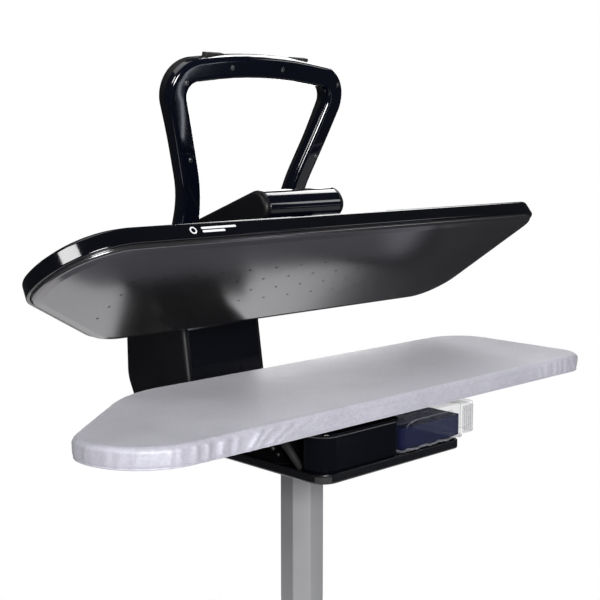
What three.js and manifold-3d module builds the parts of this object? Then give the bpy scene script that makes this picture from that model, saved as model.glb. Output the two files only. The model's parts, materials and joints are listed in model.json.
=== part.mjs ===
// A steam ironing press on a pedestal stand, drawn open and ready to load.
//
// Millimetres, +Z up. X runs along the ironing board, -X towards its pointed end; -Y is the side
// the user stands on; the origin is on the floor, on the axis of the column.
// Board and head share one plan outline, each in its own frame: y is measured back from the
// crease at the front of the board, and z up from the ironing surface (board) or from the face of
// the sole (head).

import * as THREE from 'three';
import { mergeVertices } from 'three/addons/utils/BufferGeometryUtils.js';
import Module from 'manifold-3d';

const wasm = await Module();
wasm.setup();

// ---------------------------------------------------------------- driving dimensions

const GAP = 0.4;                  // clearance between pieces that touch
const SHORTEST_EDGE = 0.6;

const BOARD_TOP = 880;            // height of the ironing surface above the floor
const BOARD_LENGTH = 800;
const BOARD_WIDTH = 243;
const BOARD_BULGE = 5;            // how far the skirt of the cover stands outside its crease
const BOARD_FRONT = -169;         // front crease of the board, measured from the column
const BOARD_DEPTH = 24;           // from the ironing surface to the hem of the cover
const PAD_DEPTH = 10;
const CLOTH = 2.4;

const HINGE_BACK = 342;           // head hinge, behind the front crease of the board
const HINGE_DROP = 47;            // and below the ironing surface
const OPEN_ANGLE = THREE.MathUtils.degToRad(34.1);
const CLOSED_GAP = 2.5;           // sole to cloth with the head closed

const RIM_PROUD = 2.5;            // how far the head's rim stands outside the board's outline
const SOLE_INSET = 2;             // and how far the sole stays inside it
const RIM_LOW = 7;                // rim's lower and upper edge above the sole's face
const RIM_HIGH = 26.5;
const HEAD_HIGH = 36;             // flat top of the head casing
const SHELL = 2.6;                // wall of the moulded shells

const ARM_HALF = 70;              // half the width of the arm
const ARM_SIDE = 8;               // width of the matt side panels' edge
const HANDLE_PIVOT = [213, 82];   // handle shaft, in the head's frame
const HANDLE_LEAN = THREE.MathUtils.degToRad(47.8);
const GRIP_HIGH = 265;            // middle of the grip above the handle shaft
const GRIP_HALF = 148;            // half the width of the handle at its upper corners
const LEG_HALF = 90;              // and at its lower ends
const BAR_HALF = 14;              // half the width of the handle bar
const FOOT_HALF = 17;             // and of its lower ends
const GRIP_FRONT = 12;            // depth of the front shell at the grip, and down the legs
const LEG_FRONT = 14;
const GRIP_REAR = 16;             // the same for the rear shell
const LEG_REAR = 8.8;
const SHAFT = 6;                  // radius of the handle shaft, and half its length
const SHAFT_END = 93;

const TRAY_LOW = -96;             // underside and lip of the base tray, below the board's top
const TRAY_LIP = -84;
const TRAY_CORNER = 24;
const HOUSING_TOP = -37;
const DECK_FRONT = -150;
const TANK_LEFT = 28;
const TANK_RIGHT = 148;
const TANK_GRIP = 174;            // end of the finger grip beyond the tank

const SWITCH_AT = [128, -66];     // power rocker, in the right-hand wall of the body housing

const COLUMN_FLATS = 55;          // across the flats of the inner octagonal tube
const SLEEVE_FLATS = 65;          // and of the outer one
const SLEEVE_TOP = 530;
const RUNNER_LENGTH = 640;
const RUNNER_SPREAD = 270;        // floor runners, either side of the column
const RUNNER_WIDE = 54;
const RUNNER_HIGH = 26;
const FOOT_HIGH = 12;

// ---------------------------------------------------------------- materials

const finish = (color, roughness, metalness = 0) =>
  new THREE.MeshStandardMaterial({ color, roughness, metalness });

const glossBlack = finish(0x0b0b0e, 0.12);
const mattBlack = finish(0x17171a, 0.6);
const rubber = finish(0x202022, 0.85);
const silverPaint = finish(0x8f949c, 0.4, 0.3);
const sole = finish(0x6c6c70, 0.35, 0.7);
const castMetal = finish(0x9a9a9c, 0.55, 0.8);
const steel = finish(0xb4b6ba, 0.35, 0.9);
const cloth = finish(0xbdbcc6, 0.7);
const foam = finish(0xd9d4c6, 0.95);
const clearBlue = new THREE.MeshStandardMaterial({
  color: 0xa9b8dc, roughness: 0.05, transparent: true, opacity: 0.35,
});
const circuit = finish(0x1d5a35, 0.6);
const brass = finish(0xb08d4a, 0.4, 0.9);

// ---------------------------------------------------------------- outlines

const vec = ([x, y]) => new THREE.Vector2(x, y);

// A polyline whose corners [x, y, radius] are turned into arcs, without needlessly short edges.
function rounded(corners, closed = true, fineness = 0.32) {
  const last = corners.length - 1;
  const points = corners.flatMap((corner, i) => {
    const here = vec(corner);
    const radius = corner[2] ?? 0;
    const isEnd = !closed && (i === 0 || i === last);
    if (!radius || isEnd) return [here];
    const back = vec(corners[i ? i - 1 : last]).sub(here).normalize();
    const on = vec(corners[i < last ? i + 1 : 0]).sub(here).normalize();
    const half = Math.acos(THREE.MathUtils.clamp(back.dot(on), -1, 1)) / 2;
    const centre = back.clone().add(on).setLength(radius / Math.sin(half)).add(here);
    const start = back.clone().multiplyScalar(radius / Math.tan(half)).add(here).sub(centre);
    const turn = (Math.PI - 2 * half) * Math.sign(on.cross(back));
    const steps = Math.max(2, Math.ceil(Math.abs(turn) / fineness));
    return Array.from({ length: steps + 1 }, (_, k) =>
      start.clone().rotateAround(new THREE.Vector2(), (turn * k) / steps).add(centre));
  });
  return points.filter((p, i) => p.distanceTo(points[(i + 1) % points.length]) > SHORTEST_EDGE);
}

// The same polyline moved outwards (to the right of its direction) by a distance.
function offset(points, distance, closed = true) {
  const last = points.length - 1;
  return points.map((here, i) => {
    const before = points[i ? i - 1 : closed ? last : 0];
    const after = points[i < last ? i + 1 : closed ? 0 : last];
    const side = (a, b) => new THREE.Vector2(b.y - a.y, a.x - b.x).normalize();
    const a = before === here ? side(here, after) : side(before, here);
    const b = after === here ? a : side(here, after);
    return here.clone().add(a.clone().add(b).multiplyScalar(distance / (1 + a.dot(b))));
  });
}

// A strip of even width along an open path, as a closed outline.
const strip = (path, width, side = 0) => [
  ...offset(path, width / 2 + side, false),
  ...offset(path, -width / 2 + side, false).reverse(),
];

const smooth = (x, from, to) => THREE.MathUtils.smoothstep(x, from, to);

const rectangle = (x0, y0, x1, y1, r = 0) =>
  rounded([[x0, y0, r], [x1, y0, r], [x1, y1, r], [x0, y1, r]]);

const circle = (radius, sides = 16, x = 0, y = 0) => Array.from({ length: sides }, (_, i) =>
  new THREE.Vector2(radius, 0).rotateAround(new THREE.Vector2(), (i * 2 * Math.PI) / sides)
    .add(new THREE.Vector2(x, y)));

const octagon = (flats) => circle(flats / 2 / Math.cos(Math.PI / 8), 8)
  .map((p) => p.rotateAround(new THREE.Vector2(), Math.PI / 8));

// Board and sole: pointed on the left, square on the right.
const END = BOARD_LENGTH / 2;
const BACK = BOARD_WIDTH - BOARD_BULGE;
const plan = rounded([
  [-END, -BOARD_BULGE, 84],
  [END, -BOARD_BULGE, 32],
  [END, BACK, 60],
  [-234, BACK, 100],
  [-END, 103, 45],
], true, 0.2);

// ---------------------------------------------------------------- solids

// Skins a list of [outline, z] rings that all have the same number of points. The first and the
// last ring are capped, or joined to each other to leave an open tube.
function loft(rings, open = false) {
  const n = rings[0][0].length;
  const position = rings.flatMap(([outline, z]) => outline.flatMap((p) => [p.x, p.y, z]));
  const index = [];
  const skin = (low, high) => {
    for (let i = 0; i < n; i += 1) {
      const j = (i + 1) % n;
      index.push(low * n + i, low * n + j, high * n + j, low * n + i, high * n + j, high * n + i);
    }
  };
  for (let k = 1; k < rings.length; k += 1) skin(k - 1, k);
  if (open) {
    skin(rings.length - 1, 0);
  } else {
    const top = (rings.length - 1) * n;
    for (const [a, b, c] of THREE.ShapeUtils.triangulateShape(rings[0][0], [])) index.push(c, b, a);
    for (const [a, b, c] of THREE.ShapeUtils.triangulateShape(rings.at(-1)[0], [])) {
      index.push(top + a, top + b, top + c);
    }
  }
  const geometry = new THREE.BufferGeometry();
  geometry.setAttribute('position', new THREE.Float32BufferAttribute(position, 3));
  geometry.setIndex(index);
  return geometry;
}

const plate = (outline, low, high) => loft([[outline, low], [outline, high]]);

// A plate whose two faces have a small chamfer all round.
const softPlate = (outline, low, high, edge) => loft([
  [offset(outline, -edge), low], [outline, low + edge],
  [outline, high - edge], [offset(outline, -edge), high],
]);

// A tray-shaped shell, open below, with a chamfered top edge.
const lid = (outline, low, high, wall, edge = 2) => loft([
  [offset(outline, -wall - edge), high - wall],
  [offset(outline, -wall), high - wall - edge],
  [offset(outline, -wall), low],
  [outline, low],
  [outline, high - edge],
  [offset(outline, -edge), high],
]);

const tube = (outline, wall, low, high) => loft([
  [offset(outline, -wall), high], [offset(outline, -wall), low], [outline, low], [outline, high],
], true);

// Turns a shape drawn in (y, z) and raised along its own third axis, so that it runs along X.
const alongX = (geometry) => geometry.applyMatrix4(new THREE.Matrix4().makeBasis(
  new THREE.Vector3(0, 1, 0), new THREE.Vector3(0, 0, 1), new THREE.Vector3(1, 0, 0)));

// The same for one drawn in (x, z), which then runs along -Y.
const alongFront = (geometry) => geometry.applyMatrix4(new THREE.Matrix4().makeBasis(
  new THREE.Vector3(1, 0, 0), new THREE.Vector3(0, 0, 1), new THREE.Vector3(0, -1, 0)));

const rodX = (radius, from, to, y, z, sides = 16) =>
  alongX(plate(circle(radius, sides, y, z), from, to));

// A round hose or wire through some points.
function hose(points, radius, steps, sides = 10) {
  const section = new THREE.Shape(circle(radius, sides));
  const extrudePath = new THREE.CatmullRomCurve3(points.map((p) => new THREE.Vector3(...p)));
  return new THREE.ExtrudeGeometry(section, { steps, extrudePath });
}

function toSolid(geometry) {
  const bare = geometry.clone();
  for (const name of Object.keys(bare.attributes)) {
    if (name !== 'position') bare.deleteAttribute(name);
  }
  const merged = mergeVertices(bare);
  return new wasm.Manifold(new wasm.Mesh({
    numProp: 3,
    vertProperties: merged.attributes.position.array,
    triVerts: Uint32Array.from(merged.index.array),
  }));
}

function toGeometry(solid) {
  const { vertProperties, triVerts } = solid.getMesh();
  const geometry = new THREE.BufferGeometry();
  geometry.setAttribute('position', new THREE.BufferAttribute(vertProperties, 3));
  geometry.setIndex(new THREE.BufferAttribute(triVerts, 1));
  return geometry;
}

const join = (...pieces) => toGeometry(pieces.map(toSolid).reduce((a, b) => a.add(b)));
const cut = (body, ...tools) => toGeometry(tools.map(toSolid).reduce((a, b) => a.subtract(b),
  toSolid(body)));

// ---------------------------------------------------------------- scene graph

const press = new THREE.Group();

function group(parent, x = 0, y = 0, z = 0) {
  const made = new THREE.Group();
  made.position.set(x, y, z);
  parent.add(made);
  return made;
}

function add(parent, name, geometry, material) {
  const mesh = new THREE.Mesh(geometry, material);
  mesh.name = name;
  parent.add(mesh);
  return mesh;
}

// Calls make('left', -1) and make('right', 1).
const bothSides = (make) => [['left', -1], ['right', 1]].forEach(([side, sign]) => make(side, sign));
const span = (a, b) => [Math.min(a, b), Math.max(a, b)];

// ---------------------------------------------------------------- stand

function buildStand(parent) {
  const railTop = FOOT_HIGH + RUNNER_HIGH;
  const sectionCentre = FOOT_HIGH + RUNNER_HIGH / 2;
  const tubeOutline = rectangle(-RUNNER_WIDE / 2, -RUNNER_HIGH / 2, RUNNER_WIDE / 2,
    RUNNER_HIGH / 2, 6);
  const capDepth = 14;
  const runnerHalf = RUNNER_LENGTH / 2 - 4;

  bothSides((side, sign) => {
    const runner = group(parent, sign * RUNNER_SPREAD, 0, sectionCentre);
    add(runner, `runner_${side}`, alongFront(tube(tubeOutline, 2, -runnerHalf, runnerHalf)),
      silverPaint);
    [['front', -1], ['rear', 1]].forEach(([end, way]) => {
      const face = way * RUNNER_LENGTH / 2;
      const joint = way * (runnerHalf + GAP);
      const plugEnd = way * (runnerHalf - capDepth);
      const head = alongFront(plate(tubeOutline, ...span(-face, -joint)));
      const plug = alongFront(plate(offset(tubeOutline, -2 - GAP), ...span(-face, -plugEnd)));
      add(runner, `runner_cap_${end}_${side}`, join(head, plug), mattBlack);
      const pad = loft([
        [circle(19, 20), 0], [circle(21, 20), 3], [circle(21, 20), 8],
        [circle(16, 20), FOOT_HIGH - GAP],
      ]);
      const place = group(parent, sign * RUNNER_SPREAD, way * (RUNNER_LENGTH / 2 - 45), 0);
      add(place, `foot_${end}_${side}`, pad, rubber);
    });
  });

  const reach = RUNNER_SPREAD - RUNNER_WIDE / 2 - GAP;
  const crossbarOutline = rectangle(-30, FOOT_HIGH, 30, railTop, 6);
  add(parent, 'crossbar', alongX(plate(crossbarOutline, -reach, reach)), silverPaint);

  const flange = plate(rectangle(-60, -46, 60, 46, 12), railTop + GAP, railTop + 6);
  const socket = tube(octagon(SLEEVE_FLATS + 10), 5 - GAP, railTop + 2, railTop + 46);
  add(parent, 'column_socket', join(flange, socket), silverPaint);
  add(parent, 'column_sleeve',
    tube(octagon(SLEEVE_FLATS), 2.5, railTop + 6 + GAP, SLEEVE_TOP), silverPaint);

  const wall = (SLEEVE_FLATS + 12 - COLUMN_FLATS) / 2 - GAP;
  const collarTop = SLEEVE_TOP + 12;
  const outside = octagon(SLEEVE_FLATS + 12);
  const collar = loft([
    [offset(outside, -wall), collarTop],
    [offset(outside, -wall), SLEEVE_TOP + GAP],
    [offset(outside, -6 + GAP), SLEEVE_TOP + GAP],
    [offset(outside, -6 + GAP), SLEEVE_TOP - 44],
    [outside, SLEEVE_TOP - 44],
    [outside, collarTop - 3],
    [offset(outside, -3), collarTop],
  ], true);
  const boss = alongFront(plate(circle(11, 16, 0, SLEEVE_TOP - 20), 34, 46));
  const bore = alongFront(plate(circle(6, 16, 0, SLEEVE_TOP - 20), 30, 50));
  add(parent, 'column_collar', cut(join(collar, boss), bore), mattBlack);
}

// A six-lobed knob whose screw presses on the inner tube through the collar.
function buildHeightKnob(parent) {
  const lobes = (grow) => Array.from({ length: 36 }, (_, i) => {
    const angle = (i * Math.PI) / 18;
    return new THREE.Vector2(21 + grow + 2.2 * Math.cos(6 * angle), 0)
      .rotateAround(new THREE.Vector2(), angle);
  });
  const knob = loft([
    [lobes(-4), 47], [lobes(0), 50], [lobes(0), 64], [lobes(-3), 67],
  ]);
  const neck = plate(circle(5.4, 16), 34, 49);
  const turned = alongFront(join(knob, neck));
  add(group(parent, 0, 0, SLEEVE_TOP - 20), 'height_knob', turned, mattBlack);
}

// ---------------------------------------------------------------- press base

function buildColumn(parent) {
  const socketLow = TRAY_LOW - 16;
  add(parent, 'column_tube',
    tube(octagon(COLUMN_FLATS), 2.2, 300 - BOARD_TOP, TRAY_LOW - 6 - GAP), silverPaint);
  const flange = plate(rectangle(-75, -55, 75, 55, 14), TRAY_LOW - 6, TRAY_LOW - GAP);
  const socket = tube(octagon(COLUMN_FLATS + 9), 4.5 - GAP, socketLow, TRAY_LOW - 4);
  add(parent, 'column_flange', join(flange, socket), steel);
}

function buildDeck(parent) {
  const trayOutline = rounded([
    [-113, DECK_FRONT, TRAY_CORNER], [140, DECK_FRONT, 10], [140, 66, 20], [92, 112, 30], [92, 300, 46],
    [-92, 300, 46], [-92, 112, 30], [-113, 66, 20],
  ]);
  const floorTop = TRAY_LOW + 3;
  const tray = loft([
    [offset(trayOutline, -3), TRAY_LOW],
    [trayOutline, TRAY_LOW + 3],
    [trayOutline, TRAY_LIP - 1.5],
    [offset(trayOutline, -1), TRAY_LIP],
    [offset(trayOutline, -3), TRAY_LIP],
    [offset(trayOutline, -3), floorTop],
  ]);
  add(parent, 'base_tray', tray, mattBlack);

  // A small rubber bumper bent round the tray's front left corner.
  const bumperPath = Array.from({ length: 6 }, (_, k) => new THREE.Vector2(TRAY_CORNER + GAP, 0)
    .rotateAround(new THREE.Vector2(), THREE.MathUtils.degToRad(204 + 9 * k))
    .add(new THREE.Vector2(TRAY_CORNER - 113, TRAY_CORNER + DECK_FRONT)));
  add(parent, 'corner_bumper',
    plate(strip(bumperPath, 2, 1), TRAY_LOW + 3.5, TRAY_LIP - 2), rubber);

  // Front housing: a glossy bow that stands on the tray, with a lip along its upper edge.
  const low = floorTop + GAP;
  const bow = rounded([
    [-110, DECK_FRONT + 2.6, 26], [TANK_LEFT - 2, DECK_FRONT + 2.6, 9],
    [TANK_LEFT - 2, -107, 9], [-110, -107, 9],
  ]);
  const inner = offset(bow, -5);
  const wall = offset(bow, -2);
  const housing = loft([
    [offset(inner, -2), HOUSING_TOP - 3],
    [inner, HOUSING_TOP - 5],
    [offset(bow, -5.5), low],
    [offset(bow, -3), low],
    [offset(bow, -2.6), TRAY_LIP + 0.5],
    [wall, TRAY_LIP + 2],
    [wall, HOUSING_TOP - 5],
    [bow, HOUSING_TOP - 3.5],
    [bow, HOUSING_TOP - 1],
    [offset(bow, -1), HOUSING_TOP],
  ]);
  add(parent, 'front_housing', housing, glossBlack);

  // Body housing behind it, stepped on the right to leave the bay for the water tank.
  const body = rounded([
    [-86, -102, 8], [TANK_LEFT - 6, -102, 8], [TANK_LEFT - 6, -46, 8], [SWITCH_AT[0], -46, 8],
    [SWITCH_AT[0], 62, 16], [84, 104, 24], [84, 128, 8], [-86, 128, 8],
  ]);
  const window = plate(rectangle(SWITCH_AT[0] - 10, -6.8, SWITCH_AT[0] + 5, 6.8),
    SWITCH_AT[1] - 10.6, SWITCH_AT[1] + 10.6);
  add(parent, 'body_housing', cut(lid(body, low, -41, SHELL, 3), window), mattBlack);

  // What the body housing covers.
  add(parent, 'water_pump', join(
    alongX(plate(circle(19, 20, -10, -68), -60, 8)),
    plate(rectangle(-50, -24, 0, 4, 4), -90, -70),
  ), castMetal);
  add(parent, 'power_board', plate(rectangle(34, -30, 112, 50), -84, -82.4), circuit);
  add(parent, 'transformer', softPlate(rectangle(-60, 50, 10, 100, 3), -91, -48, 2), castMetal);

  // The pump's hose leaves the front housing, climbs past the open side and goes back to the arm.
  add(parent, 'water_hose', hose([
    [-98, -101, -87], [-98.5, -90, -78], [-99, -70, -60], [-99, -45, -50], [-99, 0, -48],
    [-98, 70, -50], [-95, 116, -58], [-82, 141, -70], [-58, 150, -82],
  ], 5, 26), rubber);

  add(parent, 'cable_gland', alongX(loft([
    [circle(7, 14, 30, -70), 120 + SHELL * 3 + 0.6],
    [circle(10, 14, 30, -70), 131],
    [circle(10, 14, 30, -70), 134],
    [circle(6, 14, 30, -70), 142],
  ])), rubber);
}

// A rocker switch in the right-hand wall of the body housing, its lower half standing out.
function buildSwitch(parent) {
  const profile = [[-4, -9.5], [5.2, -9.5], [2.2, 0], [2.2, 9.5], [-4, 9.5]]
    .map(([x, z]) => vec([x + SWITCH_AT[0], z + SWITCH_AT[1]]));
  add(parent, 'power_switch', alongFront(plate(profile, -6, 6)), mattBlack);
}

function buildHinge(parent) {
  const hingeY = BOARD_FRONT + HINGE_BACK;
  bothSides((side, sign) => {
    const cheek = rounded([
      [hingeY - 20, TRAY_LOW + 3 + GAP], [hingeY + 24, TRAY_LOW + 3 + GAP],
      [hingeY + 17, -HINGE_DROP + 16, 15], [hingeY - 17, -HINGE_DROP + 16, 15],
    ]);
    const [from, to] = span(sign * 35, sign * 41);
    const ear = alongX(plate(cheek, from, to));
    const bore = rodX(7.4, from - 1, to + 1, hingeY, -HINGE_DROP);
    add(parent, `hinge_bracket_${side}`, cut(ear, bore), steel);
    const coil = circle(15, 20, hingeY, -HINGE_DROP);
    add(parent, `torsion_spring_${side}`, alongX(tube(coil, 6, ...span(sign * 5, sign * 33))), steel);
  });
  add(parent, 'hinge_pin', rodX(7, -57, 57, hingeY, -HINGE_DROP), steel);
}

function buildBoard(parent) {
  const panelLow = -BOARD_DEPTH + 1;
  const panelTop = panelLow + 9;
  const padTop = -CLOTH - GAP;
  add(parent, 'board_panel', softPlate(offset(plan, -CLOTH - 3), panelLow, panelTop, 1), mattBlack);
  const padLow = Math.max(panelTop + GAP, padTop - PAD_DEPTH);
  add(parent, 'board_pad', loft([
    [offset(plan, -CLOTH - 1.5), padLow],
    [offset(plan, -CLOTH - 1.5), padTop - 5],
    [offset(plan, -CLOTH - BOARD_BULGE - 1), padTop],
  ]), foam);
  const inside = offset(plan, -CLOTH);
  add(parent, 'board_cover', loft([
    [offset(inside, -BOARD_BULGE), -CLOTH],
    [offset(inside, -1.6), -CLOTH - 2.2],
    [inside, -CLOTH - 6],
    [inside, -BOARD_DEPTH],
    [offset(plan, -1), -BOARD_DEPTH],
    [plan, -BOARD_DEPTH + 6],
    [plan, -9],
    [offset(plan, -0.8), -4],
    [offset(plan, -2.4), -1.2],
    [offset(plan, -BOARD_BULGE), 0],
  ]), cloth);
  [['front', 62], ['rear', 178]].forEach(([where, y]) => {
    const rail = alongX(plate(rectangle(y - 16, HOUSING_TOP + 1, y + 16, panelLow - GAP, 2), -100, 90));
    add(parent, `board_rail_${where}`, rail, mattBlack);
  });
}

// ---------------------------------------------------------------- water tank

function buildTank(parent) {
  const low = TRAY_LIP + 1;
  const high = HOUSING_TOP - 1;
  const outside = rectangle(TANK_LEFT, DECK_FRONT + 3, TANK_RIGHT, -50, 7);
  const wall = 2.4;
  const shell = loft([
    [offset(outside, -wall - 2), high - wall],
    [offset(outside, -wall), high - wall - 2],
    [offset(outside, -wall), low + wall],
    [offset(outside, -wall - 1), low + wall],
  ].reverse());
  const body = softPlate(outside, low, high, 2);
  // A finger grip stands out of the right-hand end, and the filler is in the top beside it.
  const grip = softPlate(
    rectangle(TANK_RIGHT - 3, DECK_FRONT + 4, TANK_GRIP, -60, 6), low + 3, high - 1, 2);
  const filler = plate(circle(11, 20, 124, -96), high - 8, high + 1);
  const hollow = plate(
    rectangle(TANK_RIGHT + 3, DECK_FRONT + 8, TANK_GRIP - 3, -64, 3), low - 1, high - 4);
  add(parent, 'water_tank', cut(join(body, grip), shell, filler, hollow), clearBlue);
  add(parent, 'tank_filter', loft([
    [rectangle(40, -132, 70, -70, 6), low + wall + GAP],
    [rectangle(40, -132, 70, -70, 6), -56],
    [rectangle(44, -128, 66, -74, 6), -52],
  ]), foam);
}

function buildTankCap(parent) {
  const seat = HOUSING_TOP - 1 + GAP;
  const cap = plate(circle(13.5, 20, 124, -96), seat, seat + 3.4);
  const tab = plate(rectangle(132, -102, 152, -90, 2), seat, seat + 3);
  const plug = plate(circle(9.6, 20, 124, -96), seat - 4, seat + 1);
  add(parent, 'tank_cap', join(cap, tab, plug), rubber);
}

// ---------------------------------------------------------------- head

// Side profile of the arm, drawn in the head's frame as [behind the front edge, above the sole].
// It wraps round the hinge at its lower end, and the covers leave that end open for the brackets.
const HINGE = [HINGE_BACK, -HINGE_DROP - CLOSED_GAP];
const SEAT = HEAD_HIGH + GAP;
const FOOT = [99, SEAT, 16];
const UNDER = [88, 57, 10];
const NOSE_LOW = [41, 60, 17];
const NOSE_HIGH = [41, 95, 20];
const NOSE_JOINT = [78, 104.1];
const NECK = [277, 20, 30];
const HEEL = [330.5, -93.4, 30];
const REAR = [[435, -22, 22], [430, 24, 50], [336, 167, 70]];

const armProfile = rounded([
  NOSE_LOW, UNDER, FOOT, [259, SEAT, 12], NECK, HEEL, ...REAR, NOSE_HIGH,
]);
const nosePath = rounded([[96.5, SEAT + 4], UNDER, NOSE_LOW, NOSE_HIGH, NOSE_JOINT].reverse(), false);
const topPath = rounded([[384, -57], ...REAR, [79.2, 104.4]], false);
const neckPath = rounded([[264, SEAT - 1], NECK, [318, -67.5]], false);

function buildSole(parent) {
  const wall = offset(plan, -SOLE_INSET);
  const body = loft([
    [offset(wall, -3), 0], [offset(wall, -1.2), 0.7], [offset(wall, -0.4), 2.2],
    [wall, RIM_LOW - 2], [wall, RIM_LOW + 3],
  ]);
  const columns = 14;
  const rows = [74, 102.5, 131, 159.5];
  const pitch = 43;
  const holes = [];
  for (let i = 0; i < columns; i += 1) {
    for (const y of rows) {
      const x = (i - (columns - 1) / 2) * pitch;
      holes.push(plate(circle(1.7, 6, x, y), -1, RIM_LOW + 5));
    }
  }
  add(parent, 'sole_plate', cut(body, ...holes), sole);
}

function buildHead(parent) {
  buildSole(parent);
  const deck = RIM_LOW + 3 + GAP;
  add(parent, 'heat_shield', softPlate(offset(plan, -SHELL - 9), deck + 14, deck + 16, 0.5), castMetal);
  add(parent, 'steam_chamber', softPlate(rounded([
    [-330, 58, 30], [330, 58, 12], [330, 176, 12], [-250, 176, 40],
  ]), deck, deck + 8, 2), castMetal);
  const rodHigh = deck + 11;
  add(parent, 'heating_element', hose([
    [290, 76, rodHigh], [100, 76, rodHigh], [-150, 76, rodHigh], [-270, 78, rodHigh],
    [-312, 112, rodHigh], [-270, 148, rodHigh], [-150, 154, rodHigh], [100, 156, rodHigh],
    [290, 156, rodHigh],
  ], 2.2, 34, 8), steel);
  add(parent, 'thermostat', plate(circle(11, 16, 150, 116), deck + 8.4, deck + 13.4), brass);

  const rim = offset(plan, RIM_PROUD);
  const mouth = offset(plan, GAP - SOLE_INSET);
  const inside = offset(plan, RIM_PROUD - SHELL - 1.2);
  const casing = loft([
    [offset(plan, -25), HEAD_HIGH - SHELL],
    [offset(plan, -12), HEAD_HIGH - SHELL - 2],
    [offset(inside, -3), RIM_HIGH - SHELL],
    [inside, RIM_HIGH - 6],
    [inside, RIM_LOW + 2],
    [mouth, RIM_LOW + 2],
    [mouth, RIM_LOW],
    [offset(rim, -1.6), RIM_LOW - 0.6],
    [rim, RIM_LOW + 1],
    [offset(rim, -1.6), RIM_HIGH - 4],
    [offset(rim, -3), RIM_HIGH - 1],
    [offset(rim, -5), RIM_HIGH + 0.8],
    [offset(plan, -14), RIM_HIGH + 6.5],
    [offset(plan, -25), HEAD_HIGH],
  ]);
  add(parent, 'head_casing', casing, glossBlack);
}

function buildArm(parent) {
  const shaft = (radius) => circle(radius, 20, ...HANDLE_PIVOT);
  bothSides((side, sign) => {
    // A side panel is a dish: a skin with a turned-in edge all round.
    const [near, far] = [ARM_HALF - ARM_SIDE, ARM_HALF];
    const dish = alongX(loft([
      [offset(armProfile, -SHELL - 4.5), far - SHELL],
      [offset(armProfile, -SHELL), far - SHELL - 3],
      [offset(armProfile, -SHELL), near],
      [armProfile, near],
      [armProfile, far - 6],
      [offset(armProfile, -1.8), far - 1.8],
      [offset(armProfile, -6), far],
    ]));
    const hole = alongX(plate(shaft(9.5), near - 1, far + 1));
    const panel = cut(dish, hole);
    if (sign < 0) {
      panel.scale(-1, 1, 1);
      panel.index.array.reverse();
    }
    add(parent, `arm_panel_${side}`, panel, mattBlack);
  });

  const half = ARM_HALF - ARM_SIDE - GAP;
  const skin = (path) => alongX(plate(strip(path, SHELL, -SHELL / 2), -half, half));
  add(parent, 'nose_cover', skin(nosePath), glossBlack);
  add(parent, 'arm_top_cover', skin(topPath), glossBlack);
  add(parent, 'arm_front_cover', skin(neckPath), glossBlack);

  // Inside: two steel side plates held apart by three bars.
  const frameOutline = offset(armProfile, -14);
  const bars = [[110, 80], [300, 110], [390, 20]].map(([y, z]) => rodX(7, -48, 48, y, z, 12));
  const plates = [-1, 1].map((sign) => alongX(plate(frameOutline, ...span(sign * 44, sign * 49))));
  const bores = [rodX(10, -50, 50, ...HANDLE_PIVOT), rodX(7.5, -50, 50, ...HINGE)];
  add(parent, 'arm_frame', cut(join(...plates, ...bars), ...bores), steel);
  add(parent, 'control_board', plate(rectangle(-40, 58, 40, 100), 72, 73.6), circuit);
}

// ---------------------------------------------------------------- handle

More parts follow.
